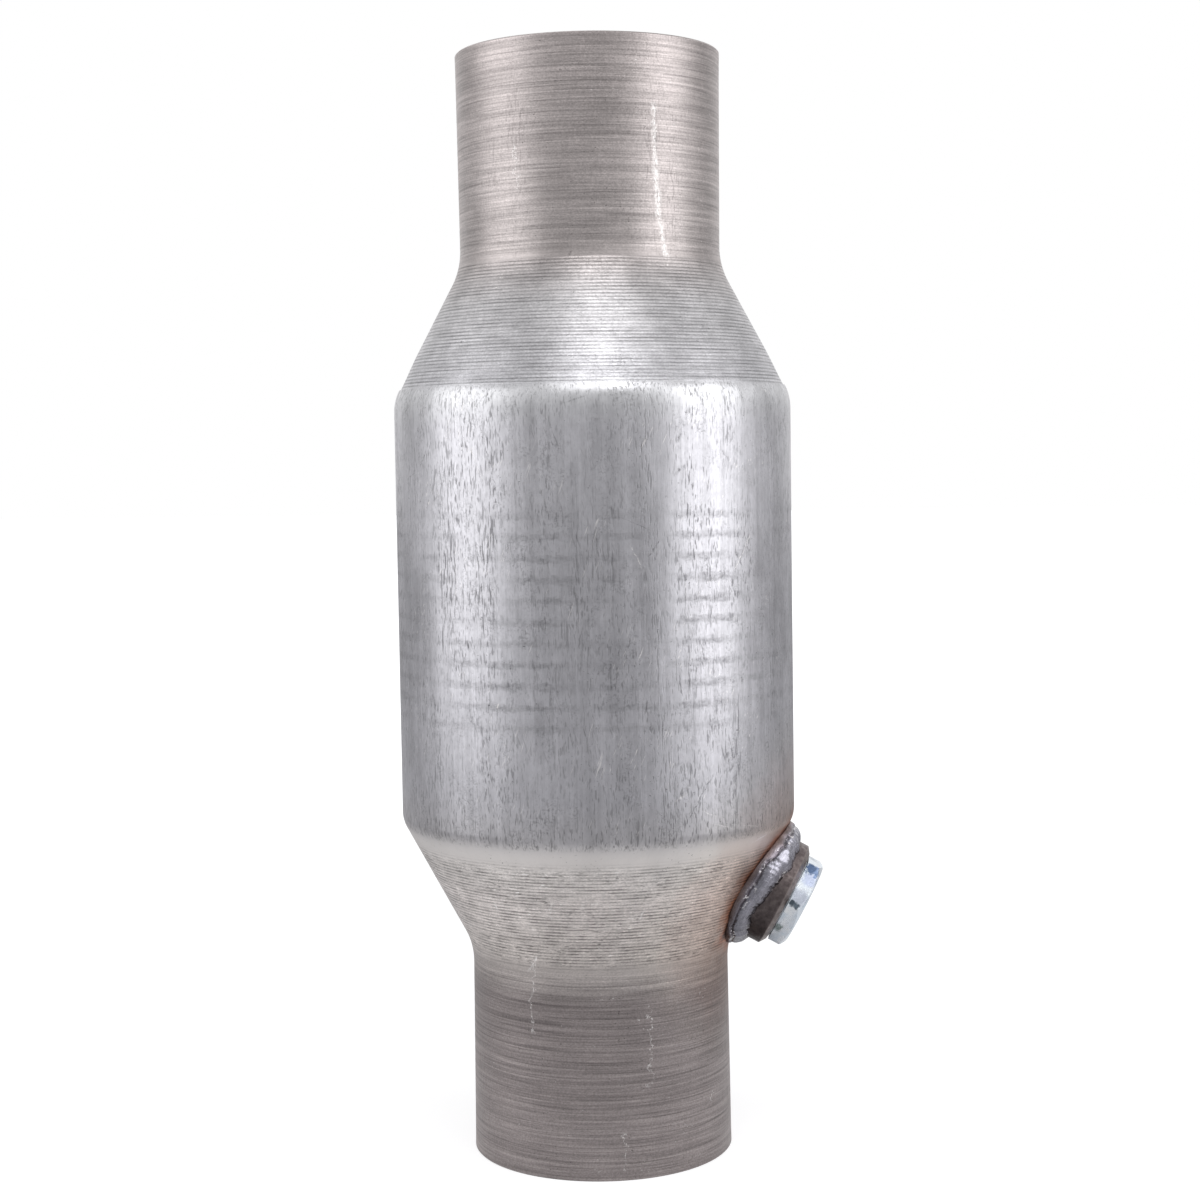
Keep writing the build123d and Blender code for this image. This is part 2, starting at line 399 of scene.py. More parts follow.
def shellCorners():
    cut = shell["rimChamfer"]
    wallOnCone = shell["wall"] / cos(slope)
    innerNeck = shell["neckLength"] + (wallOnCone - shell["neckRootWall"]) / tan(slope)
    innerBody = bodyStart + (wallOnCone - shell["wall"]) / tan(slope)
    bore = shell["neckBore"] / 2
    inside = bodyRadius - shell["wall"]
    neckRow, coneRow, bodyRow, far = (shell[k] for k in ("neckRow", "coneRow", "bodyRow", "insideRow"))
    top = overallLength
    outer = [
        (neckMouth - cut, 0, 0, 1),
        (neckMouth, cut, 0, 1),
        (neckRoot, shell["neckLength"], shell["neckBend"], neckRow),
        (bodyRadius, bodyStart, shell["lowerShoulder"], coneRow),
        (bodyRadius, bodyEnd, shell["upperShoulder"], bodyRow),
        (neckRoot, top - shell["neckLength"], shell["neckBend"], coneRow),
        (neckMouth, top - cut, 0, neckRow),
        (neckMouth - cut, top, 0, 1),
    ]
    inner = [
        (bore, top, 0, 2),
        (bore, top - innerNeck, shell["neckBend"] + shell["wall"], far),
        (inside, top - innerBody, shell["upperShoulder"] - shell["wall"], far),
        (inside, innerBody, shell["lowerShoulder"] - shell["wall"], far),
        (bore, innerNeck, shell["neckBend"] + shell["wall"], far),
        (bore, 0, 0, far),
    ]
    return outer + inner


def spinOutline(corners, segments):
    # a closed outline turned once round Z, in mm
    bm = bmesh.new()
    end = drawOutline(bm, corners)
    bm.verts.ensure_lookup_table()
    bm.edges.new((end, bm.verts[0]))
    bmesh.ops.spin(bm, geom=bm.verts[:] + bm.edges[:], cent=(0, 0, 0), axis=(0, 0, 1),
                   angle=2 * pi, steps=segments, use_merge=True)
    bmesh.ops.remove_doubles(bm, verts=bm.verts[:], dist=0.001)
    bmesh.ops.recalc_face_normals(bm, faces=bm.faces[:])
    bm.normal_update()
    return bm


def ramp(value, low, high):
    # 0 below low, 1 above high, smooth between
    t = min(1, max(0, (value - low) / (high - low)))
    return t * t * (3 - 2 * t)


def workedDepth(vert):
    # how deep the roller has worked the outside at this point, in mm; the inside stays plain
    x, y, z = vert.co
    outward = Vector((x, y, 0)).normalized()
    if vert.normal.dot(outward) < 0.8:
        return 0
    turn = atan2(y, x) / (2 * pi)
    low = z < overallLength / 2
    fromEnd = z if low else overallLength - z
    coneEnd = bodyStart - 1.5 if low else overallLength - upperConeStart
    neckEnd = shell["neckLength"]
    onCone = ramp(fromEnd, neckEnd - 3, neckEnd + 3) * (1 if fromEnd < coneEnd else 0)
    if low:
        onCone *= 1 - ramp(fromEnd, coneEnd - 6, coneEnd)
    onNeck = 1 - ramp(fromEnd, neckEnd - 6, neckEnd + 1)
    along = fromEnd / cos(slope)
    across, up = shell["patchScale"]
    patch = noise.noise(Vector((x * across, y * across, z * up)))
    ridge = 0.5 + 0.5 * cos(2 * pi * (along / shell["ridgePitch"] - turn))
    depth = onCone * shell["ridgeDepth"] * ridge * (0.75 + 0.9 * patch)
    across, up = shell["lineScale"]
    line = 0.5 + 0.5 * noise.noise(Vector((x * across, y * across, z * up + turn * 0.7)))
    depth += onNeck * shell["neckLineDepth"] * line * ramp(fromEnd, 0.5, 3)
    if not low and fromEnd < coneEnd:
        depth += shell["creaseStep"] * (1 - ramp(coneEnd - fromEnd, 0, shell["creaseReach"]))
    wave = 0.5 + 0.5 * noise.noise(Vector((x, y, z)) * shell["waveScale"])
    depth += shell["waveDepth"] * wave * ramp(fromEnd, 0.5, 8)
    return max(0, depth)


# sensor port, square to the lower cone on the +X side
port = {
    "belowMidCone": 1.0,
    "bungDiameter": 27.9,
    "bungHeight": 8.35,
    "pilotDiameter": 21.9,
    "pilotClearance": 0.15,
    "cutterLength": 16,
    "cutterSegments": 96,
}
portAlong = hypot(coneHeight, bodyRadius - neckRoot) / 2 - port["belowMidCone"]
portRadius = neckRoot + portAlong * sin(slope)
portHeight = shell["neckLength"] + portAlong * cos(slope)
# local x runs up the cone and local z out along the port, in mm
portPlane = Matrix((
    (sin(slope), 0, cos(slope), portRadius),
    (0, -1, 0, 0),
    (cos(slope), 0, -sin(slope), portHeight),
    (0, 0, 0, 1),
))


def portPlace():
    # from the port's plane in mm to the object's frame in metres
    return Matrix.Scale(mm, 4) @ portPlane


def portHoleCutter():
    bm = bmesh.new()
    radius = port["pilotDiameter"] / 2 + port["pilotClearance"]
    bmesh.ops.create_cone(bm, cap_ends=True, segments=port["cutterSegments"], radius1=radius,
                          radius2=radius, depth=port["cutterLength"])
    bmesh.ops.transform(bm, matrix=portPlace(), verts=bm.verts[:])
    bmesh.ops.recalc_face_normals(bm, faces=bm.faces[:])
    return meshFrom(bm, "holeCutter")


# stainless tube, cold rolled, then spun at both ends: satin body, turned lines on cones and necks
shellFinish = {
    # the lower neck is darker and the lower cone paler than their metal: painted shade and painted light for
    # how the lamps fall on them
    "heights": [                   # mm from the lower rim, and the colour there, partly painted light and shade
        (0, "#9D9594"),
        (44, "#968E8D"),
        (56, "#D0C9C5"),
        (70, "#E3DCD9"),
        (80, "#E3DEDB"),
        (84, "#E0DCDA"),
        (88, "#C0BEC1"),
        (98, "#C6C5CA"),
        (186, "#C6C5CA"),
        (195, "#D2D2D5"),
        (198, "#C2C1C5"),
        (216, "#C3C1C3"),
        (228, "#B1AAA9"),
        (281, "#B1A9A8"),
    ],
    "roughness": 0.32,
    "cloudRough": (-0.05, 0.06),   # what the slow clouds add to it
    # what each kind of mark adds to it; worked is the necks and cones, pale is what lies bare
    "rougher": {"worked": 0.03, "dash": 0.16, "band": 0.07, "scuff": 0.1, "pale": 0.16},
    "anisotropic": 0.5,
    "dash": (0.42, 2.3),           # mm, width and length of the rolling marks along the body
    "longDash": (0.46, 5.0),
    "bandPitch": 5.07,             # mm between the roller bands on the body
    "bandReach": (114.8, 165.5),   # the first band and the last
    # what each kind of mark leaves of the metal's brightness; groove is painted shade in the grooves'
    # bottoms, glint a painted glint
    "shades": {"groove": 0.54, "tear": 0.48, "glint": 1.5, "dash": 0.6, "crackle": 0.72, "band": 0.7,
               "scuff": 0.7, "pit": 0.5, "scratch": 0.36},
    "paleMetal": "#F8F5F4",        # bare metal in pale scratches and nicks
    "wander": (0.5, 1.7),          # mm, how far a scratch and a squiggle leave their line
    # heat tint round the weld, with painted shade in its darkest ring at the weld's toe: mm from the port's
    # middle, and the colour that the metal is multiplied by
    "tintRagged": 2.6,
    "tint": [(17.4, "#745448"), (18.6, "#C68A6B"), (20.2, "#D2AF9D"), (23.0, "#E0CEC5"), (27.5, "#F6E9E2"),
             (35.0, "#FDF6F2"), (41.0, "#FFFEFC"), (48.0, "#FFFFFF")],
    "insideColours": [(0.3, "#BDBAB8"), (0.7, "#D0CECC")],
    "insideRoughness": (0.44, 0.54),
    # scratches: degrees round from the front and mm up, at each end, then the width in mm
    "paleScratches": [
        (36.5, 264.0, 37.0, 249.0, 0.6), (37.0, 249.0, 38.6, 237.0, 0.9), (38.6, 237.0, 41.8, 227.6, 0.7),
        (17.7, 157.9, 20.9, 152.9, 0.16), (56.5, 160.2, 49.7, 151.5, 0.16),
        (-27.2, 181.5, -23.6, 174.6, 0.12), (21.6, 66.4, 23.2, 69.4, 0.26), (-30.1, 69.9, -30.3, 68.3, 0.3),
        (-24.3, 52.2, -18.7, 56.3, 0.24), (50.5, 89.3, 57.8, 88.2, 0.24), (30.0, 97.2, 31.6, 98.2, 0.5),
        (37.8, 93.9, 41.1, 92.7, 0.4), (41.7, 90.4, 46.3, 89.2, 0.26), (59.8, 84.2, 63.6, 85.1, 0.6),
    ],
    "squiggles": [
        (-21.1, 56.2, -24.0, 44.6, 0.24), (-24.0, 44.6, -22.8, 36.6, 0.16), (29.2, 43.6, 28.7, 23.2, 0.13),
        (16.8, 12.5, 16.9, 2.1, 0.12), (65.8, 19.0, 63.9, 15.7, 0.14), (-8.5, 71.4, -9.2, 67.5, 0.2),
        (-24.8, 256.5, -23.3, 244.0, 0.14),
    ],
    "darkScratches": [
        (22.3, 155.2, 25.7, 159.4, 0.16), (-24.0, 187.6, -18.8, 171.0, 0.12), (40.9, 102.5, 32.2, 91.3, 0.2),
        (1.9, 192.3, 5.0, 193.2, 0.6), (-0.9, 227.4, 0.3, 229.0, 0.35), (-59.0, 190.6, -55.5, 192.0, 0.5),
        (-57.3, 174.4, -51.2, 176.0, 0.3), (-45.5, 180.8, -48.6, 177.5, 0.16),
        (31.2, 182.6, 32.1, 184.4, 0.4), (30.8, 174.8, 31.9, 176.3, 0.4), (16.0, 164.6, 23.5, 161.6, 0.14),
        (-31.8, 96.9, -29.8, 96.0, 0.4),
    ],
}


def scratchMask(tree, angle, height, scratches, wander):
    # thin strokes on the tube, each leaving its line by up to wander, in mm
    wobble = grain(tree, (2.2, 2.2, 1.6), (0.25, 0.75), (-wander, wander), 4)
    strokes = []
    for startAngle, startHeight, endAngle, endHeight, width in scratches:
        low, high = sorted((startHeight, endHeight))
        radius = bodyRadius if bodyStart < (low + high) / 2 < bodyEnd else neckRoot
        course = (startHeight, endHeight, radians(startAngle), radians(endAngle))
        line = addNode(tree, "MapRange", {"clamp": False, "range": course}, {"Value": height})
        aside = addNode(tree, "Math", {"operation": "SUBTRACT"}, {0: angle, 1: line})
        aside = addNode(tree, "Math", {"operation": "MULTIPLY_ADD", 1: radius}, {0: aside, 2: wobble})
        aside = addNode(tree, "Math", {"operation": "ABSOLUTE"}, {0: aside})
        stroke = addNode(tree, "MapRange", {"range": (width * 1.4, width * 0.2)}, {"Value": aside})
        strokes.append(product(tree, stroke, between(tree, height, low, high, 0.8)))
    broken = grain(tree, (0.5, 0.5, 0.8), (0.4, 0.62), (0.05, 1), shift=(9, 0, 0))
    return product(tree, largest(tree, *strokes), broken)


def neckPattern(tree):
    # fine turned lines, some coarser, a few dark ones that run part of the way round
    return product(tree, grain(tree, (22, 22, 0.4), (0.3, 0.7), (0.76, 1.2), 2),
                   grain(tree, (38, 38, 0.7), (0.32, 0.68), (0.86, 1.13), 1, shift=(40, 0, 0)),
                   grain(tree, (30, 30, 0.5), (0.6, 0.68), (1, 0.8), 1, shift=(0, 33, 0)),
                   grain(tree, (26, 26, 7), (0.35, 0.65), (0.95, 1.05), 2, shift=(0, 70, 0)))


def conePattern(tree, angle, fromEnd, highCone):
    # the roller's helical grooves, with painted shade in their bottoms, and tears and painted glints on the
    # lower cone
    shades = shellFinish["shades"]
    perMm = 2 * pi / (cos(slope) * shell["ridgePitch"])
    along = addNode(tree, "Math", {"operation": "MULTIPLY", 1: perMm}, {0: fromEnd})
    phase = addNode(tree, "Math", {"operation": "SUBTRACT"}, {0: along, 1: angle})
    phase = addNode(tree, "Math", {"operation": "ADD", 1: pi / 2}, {0: phase})
    groove = addNode(tree, "Math", {"operation": "COSINE"}, {0: phase})
    groove = addNode(tree, "MapRange", {"range": (-0.5, 1.0)}, {"Value": groove})
    # how strongly the painted groove shade shows: patchy on the lower cone, steady on the upper
    worn = grain(tree, (5, 5, 1.2), (0.34, 0.62), (0.1, 1.45), 4)
    steady = grain(tree, (16, 16, 1.4), (0.34, 0.62), (0.45, 1.15), 2, shift=(0, 0, 55))
    grooveAmount = addNode(tree, "Mix", {"data_type": "FLOAT"}, {"Factor": highCone, "A": worn, "B": steady})
    lowConeTearsAndGlints = shadeBy(tree, highCone, 0.25)
    tears = product(tree, grain(tree, (1.7, 1.7, 0.26), (0.58, 0.67), detail=1, shift=(0, 0, 70)),
                    grain(tree, (9, 9, 7), (0.42, 0.58), detail=2, shift=(0, 60, 0)), lowConeTearsAndGlints)
    glints = product(tree, grain(tree, (1.4, 1.4, 0.26), (0.62, 0.7), detail=1, shift=(0, 0, 90)),
                     grain(tree, (8, 8, 6), (0.46, 0.6), detail=2, shift=(0, 80, 0)), lowConeTearsAndGlints)
    return product(tree, shadeBy(tree, product(tree, groove, grooveAmount), shades["groove"]),
                   shadeBy(tree, tears, shades["tear"]), shadeBy(tree, glints, shades["glint"]),
                   grain(tree, (30, 30, 0.5), (0.3, 0.7), (0.88, 1.12), 2, shift=(0, 12, 0)),
                   grain(tree, (5, 5, 3.5), (0.35, 0.7), (1.1, 0.86), 4, shift=(3, 0, 0)))


def bodyPattern(tree, height):
    shades = shellFinish["shades"]
    # rolling marks, short dark dashes that run along the tube, in upright drifts
    drifts = largest(tree, grain(tree, (7, 7, 24), (0.38, 0.6), (0.22, 1), 3, shift=(0, 17, 0)),
                     between(tree, height, bodyStart, bodyStart + 5, 1.5))
    width, length = shellFinish["dash"]
    dashes = product(tree, grain(tree, (width, width, length), (0.56, 0.65), detail=1), drifts)
    width, length = shellFinish["longDash"]
    longDashes = product(tree, grain(tree, (width, width, length), (0.57, 0.65), detail=1, shift=(7, 0, 0)),
                         grain(tree, (5, 5, 60), (0.52, 0.62), detail=2, shift=(0, 50, 0)))
    dashes = largest(tree, dashes, longDashes)
    crackle = product(tree, grain(tree, (0.7, 0.7, 0.6), (0.5, 0.64), detail=3, shift=(0, 31, 0)),
                      grain(tree, (6, 6, 9), (0.5, 0.64), detail=3, shift=(0, 0, 44)))

    # ragged bands where a support roller ran
    bandStart, bandEnd = shellFinish["bandReach"]
    ragged = grain(tree, (2.5, 2.5, 1.1), (0, 1), (-1.5, 1.5), 4)
    bandPlace = addNode(tree, "Math", {"operation": "ADD"}, {0: height, 1: ragged})
    onePitch = (bandStart, bandStart + shellFinish["bandPitch"], 0, 2 * pi)
    bands = addNode(tree, "MapRange", {"clamp": False, "range": onePitch}, {"Value": bandPlace})
    bands = addNode(tree, "Math", {"operation": "COSINE"}, {0: bands})
    bands = addNode(tree, "MapRange", {"range": (0.1, 0.95)}, {"Value": bands})
    bands = product(tree, bands, between(tree, height, bandStart - 1, bandEnd + 1, 3),
                    grain(tree, (17, 17, 45), (0.38, 0.6), (0.06, 1), 3, shift=(0, 0, 60)),
                    grain(tree, (5, 5, 3), (0.3, 0.6), (0.3, 1.1), 3, shift=(0, 22, 0)),
                    grain(tree, (0.9, 0.9, 0.7), (0.36, 0.6), (0.5, 1.2), 3))

    # scuffs in two slanting directions
    darkScuffs = product(tree, grain(tree, (0.35, 0.6, 6), (0.62, 0.68), detail=2, turn=(0, 17, 0)),
                         grain(tree, (12, 12, 14), (0.46, 0.6), detail=2, shift=(25, 0, 0)))
    paleLines = grain(tree, (0.35, 0.6, 7), (0.64, 0.69), detail=2, turn=(0, -21, 0), shift=(4, 0, 0))
    paleScuffs = product(tree, paleLines, grain(tree, (14, 14, 12), (0.5, 0.62), detail=2, shift=(0, 25, 9)))
    shade = product(tree, shadeBy(tree, dashes, shades["dash"]), shadeBy(tree, crackle, shades["crackle"]),
                    shadeBy(tree, bands, shades["band"]), shadeBy(tree, darkScuffs, shades["scuff"]),
                    grain(tree, (3.2, 3.2, 90), (0.34, 0.66), (0.93, 1.06), 2, shift=(0, 66, 0)),
                    grain(tree, (0.7, 0.7, 34), (0.3, 0.7), (0.92, 1.08), 2, shift=(0, 3, 0)),
                    grain(tree, (4, 4, 8), (0.3, 0.7), (0.92, 1.07), 3, shift=(0, 3, 9)),
                    grain(tree, (1.0, 1.0, 1.4), (0.3, 0.7), (0.93, 1.07), 4, shift=(0, 0, 13)))
    return shade, dashes, bands, darkScuffs, paleScuffs


def heatTintAndToeShade(tree, coords):
    # brown and pink nearest to the weld, straw further off; the darkest brown right at the weld's toe is
    # partly painted shade
    centre = Vector((portRadius, 0, portHeight)) * mm
    ragged = shellFinish["tintRagged"]
    reach = addNode(tree, "VectorMath", {"operation": "DISTANCE", 1: centre}, {0: coords})
    reach = addNode(tree, "Math", {"operation": "MULTIPLY", 1: 1000.0}, {0: reach})
    wobble = grain(tree, (6, 6, 6), (0.2, 0.8), (-ragged, ragged), shift=(2, 0, 0))
    reach = addNode(tree, "Math", {"operation": "ADD"}, {0: reach, 1: wobble})
    furthest = shellFinish["tint"][-1][0]
    stops = [(place / furthest, shade) for place, shade in shellFinish["tint"]]
    reach = addNode(tree, "Math", {"operation": "DIVIDE", 1: furthest}, {0: reach})
    return addNode(tree, "ValToRGB", {"stops": stops}, {0: reach})


def makeSpunStainless():
    material, tree = newMaterial("spunStainless")
    shades = shellFinish["shades"]
    coords = tree.nodes.new("ShaderNodeTexCoord").outputs["Object"]
    xyz = addNode(tree, "SeparateXYZ", {}, {0: coords}).node.outputs
    height = addNode(tree, "Math", {"operation": "MULTIPLY", 1: 1000.0}, {0: xyz["Z"]})
    front = addNode(tree, "Math", {"operation": "MULTIPLY", 1: -1.0}, {0: xyz["Y"]})
    angle = addNode(tree, "Math", {"operation": "ARCTAN2"}, {0: xyz["X"], 1: front})
    fromTop = addNode(tree, "Math", {"operation": "SUBTRACT", 0: overallLength}, {1: height})
    fromEnd = addNode(tree, "Math", {"operation": "MINIMUM"}, {0: height, 1: fromTop})

    # where the body, the cones and the necks are
    neckEnd = shell["neckLength"]
    onBody = between(tree, height, bodyStart - 1, upperConeStart, 0.6)
    neckFade = (neckEnd + 3, neckEnd - 4)
    onNeck = addNode(tree, "MapRange", {"interpolation_type": "SMOOTHSTEP", "range": neckFade},
                     {"Value": fromEnd})
    lowCone = between(tree, height, neckEnd, bodyStart - 6, 2.2)
    highCone = between(tree, fromTop, neckEnd, overallLength - upperConeStart, 0.4)
    onCone = addNode(tree, "Math", {"operation": "ADD"}, {0: lowCone, 1: highCone})
    offBody = largest(tree, onNeck, onCone)

    # a sparkle of tiny facets, pale nicks and dark pits
    sparkle = grain(tree, (0.5, 0.5, 0.34), (0.28, 0.72), (0.84, 1.17), 1)
    nicks = product(tree, grain(tree, (1.0, 1.0, 0.45), (0.66, 0.74), detail=3, shift=(5, 5, 0)),
                    grain(tree, (7, 7, 6), (0.56, 0.66), detail=2, shift=(0, 0, 31)), offBody)
    pits = product(tree, grain(tree, (0.7, 0.7, 0.5), (0.3, 0.25), detail=1, shift=(0, 8, 4)),
                   grain(tree, (12, 12, 9), (0.44, 0.6), detail=2, shift=(15, 0, 0)))
    clouds = grain(tree, (15, 15, 22), (0.3, 0.7), detail=5)

    # how bright the metal is in each place
    neckLines = neckPattern(tree)
    coneLines = conePattern(tree, angle, fromEnd, highCone)
    bodyShade, dashes, bands, darkScuffs, paleScuffs = bodyPattern(tree, height)
    shade = product(
        tree, *[addNode(tree, "Mix", {"data_type": "FLOAT", "A": 1.0}, {"Factor": zone, "B": pattern})
                for zone, pattern in ((onNeck, neckLines), (onCone, coneLines), (onBody, bodyShade),
                                      (offBody, sparkle))],
        shadeBy(tree, pits, shades["pit"]),
        addNode(tree, "MapRange", {"range": (0, 1, 0.92, 1.07)}, {"Value": clouds}))
    scratchWander, squiggleWander = shellFinish["wander"]
    darkStrokes = scratchMask(tree, angle, height, shellFinish["darkScratches"], scratchWander)
    shade = product(tree, shade, shadeBy(tree, darkStrokes, shades["scratch"]))

    # the colour of each zone, partly painted light and shade, tinted by heat and by painted shade at the
    # weld's toe, then scratched bare
    share = addNode(tree, "Math", {"operation": "DIVIDE", 1: overallLength}, {0: height})
    stops = [(z / overallLength, colour) for z, colour in shellFinish["heights"]]
    zoneColour = addNode(tree, "ValToRGB", {"stops": stops}, {0: share})
    colour = addNode(tree, "Mix", {"data_type": "RGBA", "blend_type": "MULTIPLY", "Factor": 1.0},
                     {"A": zoneColour, "B": heatTintAndToeShade(tree, coords)})
    colour = addNode(tree, "VectorMath", {"operation": "SCALE"}, {0: colour, "Scale": shade})
    pale = largest(tree, scratchMask(tree, angle, height, shellFinish["paleScratches"], scratchWander),
                   scratchMask(tree, angle, height, shellFinish["squiggles"], squiggleWander), nicks)
    bodyScuffs = product(tree, paleScuffs, onBody)
    pale = addNode(tree, "Math", {"operation": "MULTIPLY_ADD", 1: 0.6}, {0: bodyScuffs, 2: pale})
    pale = addNode(tree, "Math", {"operation": "MINIMUM", 1: 0.8}, {0: pale})
    colour = addNode(tree, "Mix", {"data_type": "RGBA", "B": hexToLinear(shellFinish["paleMetal"])},
                     {"Factor": pale, "A": colour})

    # scuffed and worked places spread their reflections more than the rolled skin does
    cloudRange = [shellFinish["roughness"] + more for more in shellFinish["cloudRough"]]
    rough = addNode(tree, "MapRange", {"range": (0, 1, *cloudRange)}, {"Value": clouds})
    marks = {"worked": offBody, "dash": dashes, "band": bands, "scuff": darkScuffs, "pale": pale}
    for name, mask in marks.items():
        more = shellFinish["rougher"][name]
        rough = addNode(tree, "Math", {"operation": "MULTIPLY_ADD", 1: more}, {0: mask, 2: rough})

    # relief finer than the mesh's own ridges
    relief = product(tree, addNode(tree, "Math", {"operation": "ADD"}, {0: neckLines, 1: sparkle}), offBody)
    bodyDashes = product(tree, dashes, onBody)
    relief = addNode(tree, "Math", {"operation": "MULTIPLY_ADD", 1: -0.5}, {0: bodyDashes, 2: relief})
    tangent = addNode(tree, "Tangent", {"direction_type": "RADIAL", "axis": "Z"})
    return closeMaterial(material, tree, relief, 0.6, 0.05,
                         {"Metallic": 1.0, "Anisotropic": shellFinish["anisotropic"]},
                         {"Base Color": colour, "Roughness": rough, "Tangent": tangent})


def makeInnerStainless():
    # the tube's mill finish inside, dull and never polished
    material, tree = newMaterial("millStainlessInside")
    place = millimetres(tree, (0.12, 0.12, 0.6))
    mottle = addNode(tree, "TexNoise", {"Scale": 1.0, "Detail": 5.0}, {"Vector": place})
    colour = addNode(tree, "ValToRGB", {"stops": shellFinish["insideColours"]}, {0: mottle})
    rough = addNode(tree, "MapRange", {"range": (0, 1, *shellFinish["insideRoughness"])}, {"Value": mottle})
    return closeMaterial(material, tree, mottle, 0.3, 0.05, {"Metallic": 1.0},
                         {"Base Color": colour, "Roughness": rough})


def makeShell():
    bm = spinOutline(shellCorners(), shell["segments"])
    for vert in bm.verts:
        vert.co -= vert.normal * workedDepth(vert)
    bmesh.ops.scale(bm, vec=(mm,) * 3, verts=bm.verts[:])
    mesh = cutWith(meshFrom(bm, "spunShell"), portHoleCutter())
    mesh.materials.clear()
    # what looks inwards keeps the mill finish
    for polygon in mesh.polygons:
        outward = Vector((polygon.center.x, polygon.center.y, 0)).normalized()
        polygon.material_index = 1 if polygon.normal.dot(outward) < -0.2 else 0
    materials = [makeSpunStainless(), makeInnerStainless()]
    finishPiece(mesh, "spunShell", materials, "spun_shell")


makeShell()
print("shell ready")


# catalyst brick: extruded cordierite, 1.27 mm square cells right through
brick = {
    "cellPitch": 1.27,
    "cellWall": 0.24,
    "skin": 0.6,               # the least solid ceramic outside the last whole cells
    "rimSteps": 180,
    "colours": [(0.3, "#BDB3A2"), (0.7, "#D8CFBF")],
}


def makeCordierite():
    # fired ceramic with a washcoat: matte, a little chalky, pale tan to grey
    material, tree = newMaterial("cordieriteWashcoat")
    place = millimetres(tree, (0.5, 0.5, 0.12))
    mottle = addNode(tree, "TexNoise", {"Scale": 1.0, "Detail": 4.0}, {"Vector": place})
    colour = addNode(tree, "ValToRGB", {"stops": brick["colours"]}, {0: mottle})
    return closeMaterial(material, tree, mottle, 0.3, 0.05, {"Roughness": 0.9, "Specular IOR Level": 0.3},
                         {"Base Color": colour})


def makeBrick():
    low, high = (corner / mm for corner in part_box("catalyst_brick"))
    radius = high.x
    pitch = brick["cellPitch"]
    cells = 2 * int(radius / pitch)
    bm = bmesh.new()
    bmesh.ops.create_grid(bm, x_segments=cells, y_segments=cells, size=cells * pitch / 2)
    outside = [v for v in bm.verts if v.co.length > radius - brick["skin"]]
    bmesh.ops.delete(bm, geom=outside, context="VERTS")
    cellFaces = bm.faces[:]
    bmesh.ops.inset_individual(bm, faces=cellFaces, thickness=brick["cellWall"] / 2, use_even_offset=True)
    bmesh.ops.delete(bm, geom=cellFaces, context="FACES_ONLY")
    # the whole cells end in steps, and solid ceramic fills the rest out to the skin
    steps = [e for e in bm.edges if e.is_boundary and e.calc_length() > pitch - brick["cellWall"] / 2]
    bmesh.ops.create_circle(bm, segments=brick["rimSteps"], radius=radius)
    rim = [e for e in bm.edges if e.is_wire]
    bmesh.ops.triangle_fill(bm, use_beauty=True, edges=steps + rim)
    bmesh.ops.recalc_face_normals(bm, faces=bm.faces[:])
    drawUp(bm, high.z - low.z)
    bmesh.ops.translate(bm, vec=(0, 0, low.z), verts=bm.verts[:])
    bmesh.ops.recalc_face_normals(bm, faces=bm.faces[:])
    bmesh.ops.scale(bm, vec=(mm,) * 3, verts=bm.verts[:])
    mesh = meshFrom(bm, "catalystBrick")
    finishPiece(mesh, "catalystBrick", [makeCordierite()], "catalyst_brick")


makeBrick()
print("brick ready")


# sensor bung: turned steel boss with a coped foot, still black with the scale of its forging
bung = {
    "chamferRise": 1.15,
    "chamferInset": 1.65,
    "pilotProjection": 1.5,
    "boreRadius": 9.05,
    "mouthChamfer": 0.8,
    "edgeRound": 0.22,
    "segments": 120,
    "footSink": 0.02,          # the coped foot lies this far inside the cone
    "sharpAngle": 20,
    "scaleFlake": 1.3,         # mm, the patches in the forge scale
    "scaleColours": [(0, "#463F3F"), (0.5, "#574F4F"), (1, "#6D6563")],
    "slant": (-12, 13, 0.6, 1.7),  # mm down and up the cone, and the brightness there
    "roughness": (0.55, 0.3),
    "wornEdge": "#8F8582",
}
bungRadius = port["bungDiameter"] / 2


def coneDrop(along, across):
    # how far the cone lies off the port's plane at a point of that plane, in mm
    reach = portRadius + along * sin(slope)
    return cos(slope) * (sqrt(reach ** 2 - across ** 2 * cos(2 * slope)) - reach) / cos(2 * slope)


def placePortMesh(bm, name):
    bmesh.ops.transform(bm, matrix=portPlace(), verts=bm.verts[:])
    bmesh.ops.recalc_face_normals(bm, faces=bm.faces[:])
    return meshFrom(bm, name)


def portMillimetres(tree):
    # object coordinates turned into the port's own frame: x up the cone, z out along the port
    coords = tree.nodes.new("ShaderNodeTexCoord").outputs["Object"]
    back = portPlane.inverted()
    return addNode(tree, "Mapping", {"Scale": (1000,) * 3, "Rotation": back.to_euler(),
                                     "Location": back.to_translation()}, {"Vector": coords})


def makeBungMesh():
    bore, pilot = bung["boreRadius"], port["pilotDiameter"] / 2
    top, soft = port["bungHeight"], bung["edgeRound"]
    bottom = -shell["wall"] - bung["pilotProjection"]
    foot = -0.4
    corners = [
        (bore, bottom, 0, 1),
        (pilot, bottom, soft, 1),
        (pilot, foot, 0, 1),
        (bungRadius, foot, 0, 1),
        (bungRadius, top - bung["chamferRise"], soft, 1),
        (bungRadius - bung["chamferInset"], top, soft, 0.4),
        (bore + bung["mouthChamfer"], top, 0.1, 1),
        (bore, top - bung["mouthChamfer"], 0.1, 1),
    ]
    bm = spinOutline(corners, bung["segments"])
    for vert in bm.verts:
        if abs(vert.co.z - foot) < 0.01 and vert.co.xy.length > pilot - 0.1:
            vert.co.z = coneDrop(vert.co.x, vert.co.y) - bung["footSink"]
    return placePortMesh(bm, "sensorBung")


